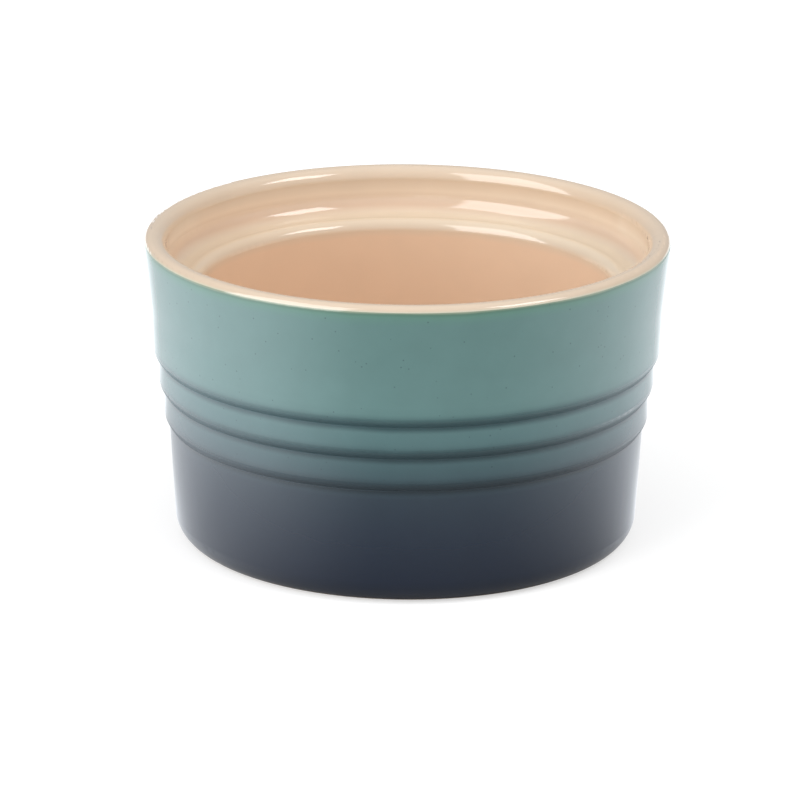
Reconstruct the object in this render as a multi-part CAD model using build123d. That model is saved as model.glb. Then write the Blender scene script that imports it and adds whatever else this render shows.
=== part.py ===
from build123d import *
import math
import os

# A stacking ramekin: a round stoneware dish with three stepped grooves outside, a stacking ledge
# inside the rim, a glaze coat outside, another inside, and a bare foot ring. Millimetres, +Z up,
# origin on the resting plane at the centre of the foot.

# Overall size
rim_diameter = 90.0
dish_height = 53.6

# Rim
rim_wall = 3.7
rim_outer_round = 1.3
rim_crown_width = 0.3
rim_land = 0.7

# Outside wall: it flares up to the rim, and three steps below are each drawn in under a groove
rim_flare = 1.13
flare_length = 10.8
flare_start_round = 40.0
flare_end_round_share = 0.9
upper_wall_taper = 0.37
upper_wall_height = 21.3
groove_pitch = 5.78
top_step = 0.91
middle_step = 0.95
bottom_step = 0.77
step_lean_degrees = 50.0
step_shoulder_share = 0.82
groove_root_share = 0.12

# Base, made to drop into the recess of another such dish
stacking_clearance = 1.7
base_round = 4.2
foot_ring_width = 3.4
foot_inner_round = 0.6
base_recess_depth = 1.4
base_recess_slope = 1.2
base_recess_round = 0.9

# Inside: a straight recess under the rim, the stacking ledge, then the bowl
recess_depth = 8.1
ledge_width = 5.7
ledge_corner_round = 3.2
ledge_lip_round = 1.9
bowl_draft = 1.5
bowl_floor_round = 6.0
floor_thickness = 4.6

# Glaze
glaze_thickness = 0.45
colour_line_drop = 0.9
bare_foot_margin = 0.15

# How far a cutting region reaches past the dish
overrun = 5.0

# Radii and heights that follow from the sizes above
rim_radius = rim_diameter / 2
recess_radius = rim_radius - rim_wall
rim_inner_round = rim_wall - rim_outer_round - rim_crown_width
flare_start_radius = rim_radius - rim_flare
flare_end_height = dish_height - rim_outer_round - rim_land
flare_start_height = flare_end_height - flare_length
upper_wall_radius = flare_start_radius - upper_wall_taper
upper_band_radius = upper_wall_radius - top_step
lower_band_radius = upper_band_radius - middle_step
lower_wall_radius = lower_band_radius - bottom_step
base_radius = recess_radius - stacking_clearance
foot_outer_radius = base_radius - base_round
foot_inner_radius = foot_outer_radius - foot_ring_width
ledge_height = dish_height - recess_depth
bowl_radius = recess_radius - ledge_width
floor_radius = bowl_radius - bowl_draft
floor_height = base_recess_depth + floor_thickness
top_groove_height = dish_height - upper_wall_height
middle_groove_height = top_groove_height - groove_pitch
bottom_groove_height = middle_groove_height - groove_pitch


def step_outline(radius_below, radius_above, groove_height):
    """The corners of one step and their rounds: the root of the groove, then the shoulder above it."""
    lean = math.radians(step_lean_degrees)
    drawn_in = radius_above - radius_below
    largest_round = drawn_in / (1 - math.cos(lean))
    root = (radius_below, groove_height)
    shoulder = (radius_above, groove_height + drawn_in / math.tan(lean))
    return [(root, groove_root_share * largest_round), (shoulder, step_shoulder_share * largest_round)]


def underside_corners():
    """The recess under the base, the foot ring and the base's outer edge."""
    return [
        ((foot_inner_radius - base_recess_slope, base_recess_depth), base_recess_round),
        ((foot_inner_radius, 0), foot_inner_round),
        ((base_radius, 0), base_round),
    ]


def outside_corners():
    """The stepped outside wall, from the lowest groove up to the rim."""
    corners = step_outline(lower_wall_radius, lower_band_radius, bottom_groove_height)
    corners += step_outline(lower_band_radius, upper_band_radius, middle_groove_height)
    corners += step_outline(upper_band_radius, upper_wall_radius, top_groove_height)
    half_turn = math.atan2(rim_flare, flare_length) / 2
    flare_end_round = flare_end_round_share * rim_land / math.tan(half_turn)
    corners.append(((flare_start_radius, flare_start_height), flare_start_round))
    corners.append(((rim_radius, flare_end_height), flare_end_round))
    corners.append(((rim_radius, dish_height), rim_outer_round))
    return corners


def inside_corners():
    """The inside of the rim, the stacking ledge and the bowl."""
    return [
        ((recess_radius, dish_height), rim_inner_round),
        ((recess_radius, ledge_height), ledge_corner_round),
        ((bowl_radius, ledge_height), ledge_lip_round),
        ((floor_radius, floor_height), bowl_floor_round),
    ]


def dish_section():
    """Section of the whole glazed dish, radius across and height up, its floor running on past the axis."""
    corners = underside_corners() + outside_corners() + inside_corners()
    start = (-overrun, base_recess_depth)
    end = (-overrun, floor_height)
    points = [start] + [point for point, size in corners] + [end]
    rounds = [size for point, size in corners]
    return make_face([FilletPolyline(*points, radius=rounds), Line(end, start)])


def zone(low_radius, low_height, high_radius, high_height):
    """A rectangle of the half section, between two radii and two heights."""
    corner = (low_radius, low_height)
    size = (high_radius - low_radius, high_height - low_height)
    return Pos(*corner) * Rectangle(*size, align=(Align.MIN, Align.MIN))


def bare_foot_section(dish):
    """The foot ring's unglazed edge, up to just past the end of the glaze."""
    return dish & zone(0, 0, rim_radius, glaze_thickness + bare_foot_margin)


def clay_section(dish):
    """The clay alone: the dish less its glaze, with the bare foot ring left whole."""
    return offset(dish, -glaze_thickness) + bare_foot_section(dish)


def base_zone():
    """Everything inside the foot ring and below the middle of the floor."""
    foot_middle_radius = (foot_inner_radius + foot_outer_radius) / 2
    floor_middle = (base_recess_depth + floor_height) / 2
    return zone(0, -overrun, foot_middle_radius, floor_middle)


def bowl_zone():
    """The inside of the dish out to the middle of its wall, with the rim above the colour line."""
    bowl_middle_radius = (bowl_radius + base_radius) / 2
    wall_middle_radius = (recess_radius + upper_wall_radius) / 2
    floor_middle = (base_recess_depth + floor_height) / 2
    under_ledge = (ledge_height + top_groove_height) / 2
    colour_line = dish_height - colour_line_drop
    top = dish_height + overrun
    bowl = zone(0, floor_middle, bowl_middle_radius, top)
    recess = zone(0, under_ledge, wall_middle_radius, top)
    rim = zone(0, colour_line, rim_radius + overrun, top)
    return bowl + recess + rim


def turned(section):
    """The half of a section on one side of the axis, turned once round it."""
    half = section & zone(0, -overrun, rim_radius + overrun, dish_height + overrun)
    return revolve(Plane.XZ * half, Axis.Z, 360)


def stoneware_body(dish):
    return turned(clay_section(dish))


def outer_glaze(dish):
    return turned(dish - clay_section(dish) - bowl_zone() - base_zone())


def inner_glaze(dish):
    return turned((dish - clay_section(dish)) & bowl_zone())


def base_glaze(dish):
    return turned((dish - clay_section(dish)) & base_zone())


def main():
    os.makedirs("parts", exist_ok=True)
    dish = dish_section()
    pieces = {
        "stoneware_body": stoneware_body(dish),
        "outer_glaze": outer_glaze(dish),
        "inner_glaze": inner_glaze(dish),
        "base_glaze": base_glaze(dish),
    }
    for name, shape in pieces.items():
        export_step(shape, f"parts/{name}.step")
        print(name, "solids", len(shape.solids()), "volume", round(shape.volume, 1))


main()
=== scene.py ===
import math
import bpy
from mathutils import Matrix, Vector


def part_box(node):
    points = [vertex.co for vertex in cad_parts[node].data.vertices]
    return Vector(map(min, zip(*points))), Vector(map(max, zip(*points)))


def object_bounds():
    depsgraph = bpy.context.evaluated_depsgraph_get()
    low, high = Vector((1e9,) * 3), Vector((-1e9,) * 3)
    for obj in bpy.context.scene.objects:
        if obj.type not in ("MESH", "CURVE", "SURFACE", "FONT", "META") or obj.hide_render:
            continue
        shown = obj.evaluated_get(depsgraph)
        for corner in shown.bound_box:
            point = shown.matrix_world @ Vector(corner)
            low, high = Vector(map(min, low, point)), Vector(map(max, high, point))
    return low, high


# The looks of a glazed stoneware ramekin: its glazes and bare clay, a white table, two soft boxes
# and the camera. Metres, with the origin under the centre of the foot and +Z up.

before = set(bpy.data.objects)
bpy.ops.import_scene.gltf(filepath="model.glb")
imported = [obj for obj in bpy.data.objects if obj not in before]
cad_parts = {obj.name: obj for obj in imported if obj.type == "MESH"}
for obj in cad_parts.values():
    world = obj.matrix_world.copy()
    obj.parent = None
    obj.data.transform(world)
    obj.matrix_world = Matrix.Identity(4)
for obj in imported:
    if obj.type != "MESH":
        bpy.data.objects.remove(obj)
cad_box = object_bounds()

MM = 0.001
WHITE = (1, 1, 1)

# The picture that the camera is fitted to
picture_pixels = 800
sensor_width = 36.0
focal_pixels = 5264.8
rim_centre_pixel = (406.04, 231.32)
camera_distance = 0.9
camera_elevation = math.radians(16.012)
camera_roll = math.radians(0.396)
nearest_seen = 0.01
farthest_seen = 20

# The dish's heights and radii, as the frame has them
dish_height = cad_box[1].z
rim_radius = cad_box[1].x
colour_line_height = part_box("outer_glaze")[1].z
groove_heights = (32.3 * MM, 26.52 * MM, 20.74 * MM)

# What all glazes share: slight waves in the gloss, and a roughness that changes in faint patches
glaze_ior = 1.6
glaze_roughness = 0.07
wave_size = 4 * MM
wave_detail = 1.0
wave_depth = 0.02 * MM
wave_strength = 0.6
rough_patch_size = 9 * MM
rough_patch_depth = 0.04

# How far the bands of colour waver up and down, and over what length
fade_wobble = 0.5 * MM
fade_wobble_size = 11 * MM

# How fine the mottle of the outer and the inner glaze is broken up
mottle_detail = 4.0

# Outer glaze, from the foot to the colour line: ink blue that fades to teal, with a green edge at
# the top
outer_fade = (
    (0.0 * MM, (0.0005, 0.006, 0.020)),
    (5.0 * MM, (0.0025, 0.0095, 0.0265)),
    (9.0 * MM, (0.0052, 0.0140, 0.0322)),
    (13.0 * MM, (0.0090, 0.0197, 0.0388)),
    (16.0 * MM, (0.0125, 0.0256, 0.0446)),
    (19.0 * MM, (0.0170, 0.0330, 0.0520)),
    (24.5 * MM, (0.045, 0.095, 0.109)),
    (30.0 * MM, (0.077, 0.160, 0.167)),
    (36.0 * MM, (0.108, 0.214, 0.209)),
    (50.3 * MM, (0.108, 0.216, 0.206)),
    (51.3 * MM, (0.106, 0.224, 0.198)),
    (52.0 * MM, (0.098, 0.224, 0.176)),
    (52.3 * MM, (0.074, 0.170, 0.122)),
    (52.5 * MM, (0.125, 0.210, 0.150)),
    (52.7 * MM, (0.330, 0.360, 0.265)),
)
outer_mottle_size = 5 * MM
outer_mottle_depth = 0.14

# Beside the grooves the colour darkens, partly from glaze that gathers there and partly as
# painted shade of the grooves, and the gloss is softer in the crease itself. A reach holds the
# heights over a groove's root where the change starts, is full, stops being full and ends.
pool_and_shade_depth = 0.84
pool_and_shade_tint = (0.10, 0.24, 0.30)
pool_and_shade_reach = (-1.3 * MM, -0.1 * MM, 0.5 * MM, 2.6 * MM)
crease_roughness = 0.42
crease_reach = (-0.3 * MM, -0.1 * MM, 0.6 * MM, 1.8 * MM)

# Fine dark specks in the outer glaze
speck_spacing = 1.9 * MM
speck_radius = 0.19 * MM
speck_core_share = 0.4
speck_depth = 0.42
speck_colour = (0.01, 0.03, 0.035)

# Inner glaze, by height: almond in the bowl, and paler or deeper in bands over the ledge, the
# recess and the rim
inner_fade = (
    (0.0 * MM, (0.695, 0.50, 0.355)),
    (42.5 * MM, (0.695, 0.50, 0.355)),
    (44.5 * MM, (0.59, 0.48, 0.365)),
    (45.6 * MM, (0.62, 0.505, 0.38)),
    (47.0 * MM, (0.58, 0.42, 0.305)),
    (49.5 * MM, (0.71, 0.575, 0.44)),
    (51.5 * MM, (0.60, 0.47, 0.345)),
    (53.6 * MM, (0.56, 0.45, 0.345)),
)
inner_mottle_size = 6 * MM
inner_mottle_depth = 0.06

# A greener edge just over the colour line, on the outside of the rim only
rim_edge_colour = (0.54, 0.51, 0.40)
rim_edge_height = 0.35 * MM
rim_outside_from = rim_radius - 0.5 * MM
rim_outside_to = rim_radius - 0.2 * MM

# Below the rim: painted shade, deeper in colour, at -X and a painted pale sheen at +X
painted_shade_side = (1.0, 0.97, 0.94)
painted_sheen_side = (1.0, 1.035, 1.06)
painted_side_light_full_to = 49 * MM
painted_side_light_ends = 51 * MM

# Base glaze
base_dark = (0.002, 0.006, 0.018)
base_pale = (0.006, 0.014, 0.03)
base_patch_size = 8 * MM
base_patch_detail = 3.0
base_patch_contrast = 0.2
base_roughness = 0.1

# Bare clay, with grit and darker grains of iron
clay_dark = (0.46, 0.36, 0.26)
clay_pale = (0.60, 0.50, 0.39)
clay_grain = (0.16, 0.09, 0.05)
clay_roughness = 0.85
clay_ior = 1.5
grit_size = 0.5 * MM
grit_detail = 4.0
grit_low = 0.35
grit_high = 0.65
grit_depth = 0.06 * MM
grit_strength = 0.5
grain_spacing = 1.2 * MM
grain_radius = 0.16 * MM

# The white surroundings. As a light they are dimmer than as a background, and those low behind
# the dish are dimmer where the glaze mirrors them. Turns from the camera's side and rises are in
# degrees.
ambient_strength = 0.88
mirrored_sky_behind = 0.45
sky_dims_from = 75
sky_dims_to = 110
sky_low_to = 35
sky_high_from = 65

# The table: its paint, and the glow that makes it white to the camera
table_half = 4.0
table_albedo = 0.5
table_roughness = 0.5
table_glow = 0.54

# The glow that only the glaze mirrors in the table, in degrees of turn from the camera's side. It
# is weaker close to the dish, and ends under it. Distances from the axis are in rim radii.
mirrored_tint = (0.94, 0.99, 1.06)
mirrored_left = {
    "rise_from": -5, "rise_to": -70, "most": 1.85,
    "fall_from": -80, "fall_to": -155, "left_over": 0.2, "near_share": 0.57,
}
mirrored_right = {
    "rise_from": 25, "rise_to": 97, "most": 1.12,
    "fall_from": 105, "fall_to": 160, "left_over": 0.2, "near_share": 0.78,
}
mirrored_back = {"from": 128, "to": 152, "most": 0.6}
near_from = 1.0
near_to = 2.5
under_dish_to = 0.8
beside_dish_from = 0.96

# Soft boxes: turn from the camera's side towards +X and rise in degrees, size, power as a lamp, and
# brightness as the glaze mirrors it
key_box = {
    "across": -56, "rise": 29, "width": 1.06, "height": 1.15, "power": 8.0, "mirrored": 5.2,
}
fill_box = {
    "across": 66, "rise": 47, "width": 0.66, "height": 0.36, "power": 3.6, "mirrored": 7.5,
}
box_distance = 1.0
box_edge_softness = math.radians(2.5)


def pixel_angle(pixels):
    """The angle off the optical axis of a point that many pixels from the picture's middle."""
    return pixels / focal_pixels


def make_camera():
    """The camera stands at the fitted distance and elevation, and has the picture's framing."""
    middle = (picture_pixels - 1) / 2
    pitch = camera_elevation + pixel_angle(middle - rim_centre_pixel[1])
    yaw = pixel_angle(middle - rim_centre_pixel[0])
    way = Vector((0, -math.cos(camera_elevation), math.sin(camera_elevation)))
    place = way * camera_distance
    place.z += dish_height
    forward = math.cos(pitch)
    aim = Vector((math.sin(yaw) * forward, math.cos(yaw) * forward, -math.sin(pitch)))
    level = Vector((math.cos(yaw), -math.sin(yaw), 0))
    over = level.cross(aim)
    right = level * math.cos(camera_roll) + over * math.sin(camera_roll)
    up = over * math.cos(camera_roll) - level * math.sin(camera_roll)
    lens = bpy.data.cameras.new("camera")
    lens.sensor_width = sensor_width
    lens.lens = focal_pixels * sensor_width / picture_pixels
    lens.clip_start = nearest_seen
    lens.clip_end = farthest_seen
    camera = bpy.data.objects.new("camera", lens)
    turn = Matrix((right, up, -aim)).transposed()
    camera.matrix_world = Matrix.Translation(place) @ turn.to_4x4()
    bpy.context.scene.collection.objects.link(camera)
    bpy.context.scene.camera = camera


def new_material(name):
    """An empty material and its node tree."""
    material = bpy.data.materials.new(name)
    material.use_nodes = True
    material.node_tree.nodes.clear()
    return material, material.node_tree


def node(tree, kind, settings=None, **inputs):
    """A node with its settings. An input, by name or as i and its number, is set or linked."""
    made = tree.nodes.new(kind)
    for key, value in (settings or {}).items():
        setattr(made, key, value)
    for key, value in inputs.items():
        numbered = key[0] == "i" and key[1:].isdigit()
        socket = made.inputs[int(key[1:]) if numbered else key.replace("_", " ")]
        if isinstance(value, bpy.types.NodeSocket):
            tree.links.new(value, socket)
        else:
            socket.default_value = value
    return made


def math_node(tree, operation, a, b=0.0, c=0.0):
    return node(tree, "ShaderNodeMath", {"operation": operation}, i0=a, i1=b, i2=c).outputs[0]


def smooth_step(tree, value, low, high, start=0.0, end=1.0):
    """Start where the value is low, end where it is high, and a soft change between."""
    settings = {"interpolation_type": "SMOOTHSTEP"}
    span = {"From_Min": low, "From_Max": high, "To_Min": start, "To_Max": end}
    return node(tree, "ShaderNodeMapRange", settings, Value=value, **span).outputs[0]


def turn_step(tree, turn, low, high, start=0.0, end=1.0):
    """A soft change of an angle, between two angles in degrees."""
    return smooth_step(tree, turn, math.radians(low), math.radians(high), start, end)


def blend(tree, share, first, second, mode="MIX"):
    """One colour over another, by a share."""
    settings = {"data_type": "RGBA", "blend_type": mode}
    return node(tree, "ShaderNodeMix", settings, i0=share, i6=first, i7=second).outputs[2]


def multiplied(tree, first, second):
    """One colour times another."""
    return blend(tree, 1.0, first, second, "MULTIPLY")


def solid(colour):
    """A colour with full alpha."""
    return (*colour, 1)


def split(tree, vector):
    """The X, Y and Z of a vector."""
    return node(tree, "ShaderNodeSeparateXYZ", Vector=vector).outputs


def azimuth_of(tree, parts):
    """The turn round the axis, from the camera's side towards +X."""
    return math_node(tree, "ARCTAN2", parts["X"], math_node(tree, "MULTIPLY", parts["Y"], -1.0))


def place_on_dish(tree):
    """The point on the dish, its height above the table and its distance from the axis."""
    point = node(tree, "ShaderNodeTexCoord").outputs["Object"]
    parts = split(tree, point)
    across = math_node(tree, "MULTIPLY", parts["Y"], parts["Y"])
    squares = math_node(tree, "MULTIPLY_ADD", parts["X"], parts["X"], across)
    return point, parts["Z"], math_node(tree, "SQRT", squares)


def lumps(tree, point, size, detail):
    """Smooth noise about 0.5, with lumps of a given size."""
    return node(tree, "ShaderNodeTexNoise", Vector=point, Scale=1 / size, Detail=detail).outputs[0]


def noise(tree, point, size, detail=2.0):
    """Smooth noise about 0, with lumps of a given size."""
    return math_node(tree, "SUBTRACT", lumps(tree, point, size, detail), 0.5)


def fade(tree, point, height, stops):
    """The height above the table as it wavers a little, and the colour that belongs to it."""
    wobble = noise(tree, point, fade_wobble_size)
    wobbly = math_node(tree, "MULTIPLY_ADD", wobble, fade_wobble, height)
    ramp = node(tree, "ShaderNodeValToRGB", i0=math_node(tree, "DIVIDE", wobbly, dish_height))
    elements = ramp.color_ramp.elements
    while len(elements) < len(stops):
        elements.new(1.0)
    for element, (place, colour) in zip(elements, stops):
        element.position = place / dish_height
        element.color = solid(colour)
    return wobbly, ramp.outputs[0]


def mottled(tree, point, colour, size, depth):
    """A colour that is faintly lighter and darker in lumps of a given size."""
    level = math_node(tree, "MULTIPLY_ADD", noise(tree, point, size, mottle_detail), depth, 1.0)
    grey = node(tree, "ShaderNodeCombineColor", i0=level, i1=level, i2=level).outputs[0]
    return multiplied(tree, colour, grey)


def specks(tree, point, spacing, radius):
    """1 in sparse small dots, 0 between them."""
    cells = node(tree, "ShaderNodeTexVoronoi", Vector=point, Scale=1 / spacing)
    core = speck_core_share * radius / spacing
    return smooth_step(tree, cells.outputs["Distance"], core, radius / spacing, 1.0, 0.0)


def by_grooves(tree, height, reach):
    """1 beside each groove's root, 0 away from it, over a reach from below the root to above it."""
    starts, full_from, full_to, ends = reach
    most = 0.0
    for groove in groove_heights:
        under = smooth_step(tree, height, groove + starts, groove + full_from)
        over = smooth_step(tree, height, groove + full_to, groove + ends, 1.0, 0.0)
        most = math_node(tree, "MAXIMUM", most, math_node(tree, "MULTIPLY", under, over))
    return most


def surface(tree, colour, roughness, ior, bump):
    """The material's one shader and its output."""
    look = {"Base_Color": colour, "Roughness": roughness, "IOR": ior, "Normal": bump.outputs[0]}
    shader = node(tree, "ShaderNodeBsdfPrincipled", **look)
    node(tree, "ShaderNodeOutputMaterial", Surface=shader.outputs[0])


def gloss(tree, point, colour, roughness):
    """Glass over clay: a clear gloss with slight waves and faint changes of roughness."""
    waves = lumps(tree, point, wave_size, wave_detail)
    bump = node(tree, "ShaderNodeBump", Strength=wave_strength, Distance=wave_depth, Height=waves)
    patches = noise(tree, point, rough_patch_size)
    rough = math_node(tree, "MULTIPLY_ADD", patches, rough_patch_depth, roughness)
    surface(tree, colour, rough, glaze_ior, bump)


def outer_glaze_material():
    """Ink blue to teal by height, darker by the grooves with pooled glaze and painted shade,
    mottled and with fine dark specks.
    """
    material, tree = new_material("outer_glaze")
    point, height, _ = place_on_dish(tree)
    wobbly, colour = fade(tree, point, height, outer_fade)
    # Painted shade beside the grooves, on top of the glaze that pools there
    pool_and_shade = math_node(tree, "MULTIPLY", by_grooves(tree, wobbly, pool_and_shade_reach), pool_and_shade_depth)
    colour = blend(tree, pool_and_shade, colour, multiplied(tree, colour, solid(pool_and_shade_tint)))
    colour = mottled(tree, point, colour, outer_mottle_size, outer_mottle_depth)
    dots = specks(tree, point, speck_spacing, speck_radius)
    dots = math_node(tree, "MULTIPLY", dots, speck_depth)
    colour = blend(tree, dots, colour, solid(speck_colour))
    crease = by_grooves(tree, height, crease_reach)
    rough = math_node(tree, "MULTIPLY_ADD", crease, crease_roughness, glaze_roughness)
    gloss(tree, point, colour, rough)
    return material


def inner_glaze_material():
    """Almond by height, with a greener edge over the colour line, and painted shade and sheen
    across it.
    """
    material, tree = new_material("inner_glaze")
    point, height, radius = place_on_dish(tree)
    _, colour = fade(tree, point, height, inner_fade)
    outside = smooth_step(tree, radius, rim_outside_from, rim_outside_to)
    edge_top = colour_line_height + rim_edge_height
    low = smooth_step(tree, height, colour_line_height, edge_top, 1.0, 0.0)
    edge = math_node(tree, "MULTIPLY", outside, low)
    colour = blend(tree, edge, colour, solid(rim_edge_colour))
    # Painted light across the inner glaze: shade towards -X, a pale mirrored sheen towards +X
    across = smooth_step(tree, split(tree, point)["X"], -rim_radius, rim_radius)
    within = smooth_step(tree, height, painted_side_light_full_to, painted_side_light_ends, 1.0, 0.0)
    tint = blend(tree, across, solid(painted_shade_side), solid(painted_sheen_side))
    colour = blend(tree, within, colour, multiplied(tree, colour, tint))
    colour = mottled(tree, point, colour, inner_mottle_size, inner_mottle_depth)
    gloss(tree, point, colour, glaze_roughness)
    return material


def base_glaze_material():
    """Blue-black in two shades that run into each other."""
    material, tree = new_material("base_glaze")
    point, _, _ = place_on_dish(tree)
    spots = noise(tree, point, base_patch_size, base_patch_detail)
    share = smooth_step(tree, spots, -base_patch_contrast, base_patch_contrast)
    colour = blend(tree, share, solid(base_dark), solid(base_pale))
    gloss(tree, point, colour, base_roughness)
    return material


def stoneware_material():
    """Bare fired clay: matt buff with fine grit and darker grains of iron."""
    material, tree = new_material("stoneware")
    point, _, _ = place_on_dish(tree)
    grit = lumps(tree, point, grit_size, grit_detail)
    share = smooth_step(tree, grit, grit_low, grit_high)
    colour = blend(tree, share, solid(clay_dark), solid(clay_pale))
    grains = specks(tree, point, grain_spacing, grain_radius)
    colour = blend(tree, grains, colour, solid(clay_grain))
    bump = node(tree, "ShaderNodeBump", Strength=grit_strength, Distance=grit_depth, Height=grit)
    surface(tree, colour, clay_roughness, clay_ior, bump)
    return material


def dress(name, material):
    """Gives one of the frame's pieces its material."""
    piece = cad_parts[name]
    piece.data.materials.clear()
    piece.data.materials.append(material)


def mirrored_rays(tree, path):
    """1 for the rays by which a glossy or clear surface shows its surroundings."""
    return math_node(tree, "MAXIMUM", path["Is Glossy Ray"], path["Is Transmission Ray"])


def mirrored_box(tree, azimuth, elevation, box):
    """Where the glaze mirrors a soft box, as the brightness that it adds to the white around it."""
    share = box["mirrored"] - 1
    sides = (azimuth, box["across"], box["width"]), (elevation, box["rise"], box["height"])
    for angle, middle, size in sides:
        half = math.atan(size / 2 / box_distance)
        away = math_node(tree, "SUBTRACT", angle, math.radians(middle))
        away = math_node(tree, "ABSOLUTE", away)
        inner = half - box_edge_softness
        outer = half + box_edge_softness
        within = smooth_step(tree, away, inner, outer, 1.0, 0.0)
        share = math_node(tree, "MULTIPLY", share, within)
    return share


def make_world():
    """White where it is seen or mirrored, with the mirrored soft boxes, and dimmer as a light."""
    world = bpy.data.worlds.new("world")
    world.use_nodes = True
    tree = world.node_tree
    tree.nodes.clear()
    path = node(tree, "ShaderNodeLightPath").outputs
    way = split(tree, node(tree, "ShaderNodeTexCoord").outputs["Generated"])
    azimuth = azimuth_of(tree, way)
    elevation = math_node(tree, "ARCSINE", way["Z"])
    key = mirrored_box(tree, azimuth, elevation, key_box)
    fill = mirrored_box(tree, azimuth, elevation, fill_box)
    boxes = math_node(tree, "ADD", key, fill)
    mirrored = mirrored_rays(tree, path)
    seen = math_node(tree, "MAXIMUM", path["Is Camera Ray"], mirrored)
    added_when_seen = 1 - ambient_strength
    strength = math_node(tree, "MULTIPLY_ADD", seen, added_when_seen, ambient_strength)
    turn = math_node(tree, "ABSOLUTE", azimuth)
    behind = turn_step(tree, turn, sky_dims_from, sky_dims_to, 0.0, mirrored_sky_behind - 1)
    low = turn_step(tree, elevation, sky_low_to, sky_high_from, 1.0, 0.0)
    extra = math_node(tree, "MULTIPLY_ADD", behind, low, boxes)
    strength = math_node(tree, "MULTIPLY_ADD", mirrored, extra, strength)
    sky = node(tree, "ShaderNodeBackground", Color=solid(WHITE), Strength=strength)
    node(tree, "ShaderNodeOutputWorld", Surface=sky.outputs[0])
    bpy.context.scene.world = world


def mirrored_side(tree, azimuth, distance, side):
    """The glow to one side: it rises from the front to the side and falls towards the back."""
    rise = turn_step(tree, azimuth, side["rise_from"], side["rise_to"], 0.0, side["most"])
    fall = turn_step(tree, azimuth, side["fall_from"], side["fall_to"], 1.0, side["left_over"])
    low = near_from * rim_radius
    high = near_to * rim_radius
    near = smooth_step(tree, distance, low, high, side["near_share"], 1.0)
    return math_node(tree, "MULTIPLY", math_node(tree, "MULTIPLY", rise, fall), near)


def mirrored_glow(tree):
    """The glow that the glaze mirrors: bright at the sides and behind, dark in front and under."""
    point = node(tree, "ShaderNodeTexCoord").outputs["Object"]
    azimuth = azimuth_of(tree, split(tree, point))
    length = node(tree, "ShaderNodeVectorMath", {"operation": "LENGTH"}, i0=point)
    distance = length.outputs["Value"]
    left = mirrored_side(tree, azimuth, distance, mirrored_left)
    right = mirrored_side(tree, azimuth, distance, mirrored_right)
    turn = math_node(tree, "ABSOLUTE", azimuth)
    behind = mirrored_back
    back = turn_step(tree, turn, behind["from"], behind["to"], 0.0, behind["most"])
    glow = math_node(tree, "ADD", math_node(tree, "ADD", left, right), back)
    low = under_dish_to * rim_radius
    high = beside_dish_from * rim_radius
    return math_node(tree, "MULTIPLY", glow, smooth_step(tree, distance, low, high))


def table_material():
    """Paint that takes the dish's shadow, a glow for the camera and another for the glaze."""
    material, tree = new_material("table")
    grey = solid((table_albedo, table_albedo, table_albedo))
    paint = node(tree, "ShaderNodeBsdfDiffuse", Color=grey, Roughness=table_roughness)
    path = node(tree, "ShaderNodeLightPath").outputs
    mirrored = mirrored_rays(tree, path)
    strength = math_node(tree, "MULTIPLY", mirrored, mirrored_glow(tree))
    strength = math_node(tree, "MULTIPLY_ADD", path["Is Camera Ray"], table_glow, strength)
    tint = blend(tree, mirrored, solid(WHITE), solid(mirrored_tint))
    glow = node(tree, "ShaderNodeEmission", Color=tint, Strength=strength)
    both = node(tree, "ShaderNodeAddShader", i0=paint.outputs[0], i1=glow.outputs[0])
    node(tree, "ShaderNodeOutputMaterial", Surface=both.outputs[0])
    return material


def make_table():
    """A pale table top that keeps the dish's shadow and is white elsewhere."""
    material = table_material()
    signs = ((-1, -1), (1, -1), (1, 1), (-1, 1))
    corners = [(across * table_half, along * table_half, 0) for across, along in signs]
    mesh = bpy.data.meshes.new("table")
    mesh.from_pydata(corners, [], [(0, 1, 2, 3)])
    mesh.materials.append(material)
    table = bpy.data.objects.new("table", mesh)
    bpy.context.scene.collection.objects.link(table)


def make_soft_box(name, box):
    """A rectangular lamp that faces the dish. The glaze mirrors it in the world, not here."""
    lamp = bpy.data.lights.new(name, "AREA")
    lamp.shape = "RECTANGLE"
    lamp.size = box["width"]
    lamp.size_y = box["height"]
    lamp.energy = box["power"]
    side = math.radians(box["across"])
    lift = math.radians(box["rise"])
    flat = math.cos(lift)
    way = Vector((math.sin(side) * flat, -math.cos(side) * flat, math.sin(lift)))
    made = bpy.data.objects.new(name, lamp)
    made.visible_glossy = False
    made.rotation_mode = "QUATERNION"
    made.rotation_quaternion = way.to_track_quat("Z", "Y")
    made.location = Vector((0, 0, dish_height)) + way * box_distance
    bpy.context.scene.collection.objects.link(made)


make_camera()
make_world()
make_table()
make_soft_box("key_box", key_box)
make_soft_box("fill_box", fill_box)

dress("outer_glaze", outer_glaze_material())
dress("inner_glaze", inner_glaze_material())
dress("base_glaze", base_glaze_material())
dress("stoneware_body", stoneware_material())

bpy.context.scene.view_settings.view_transform = "Standard"
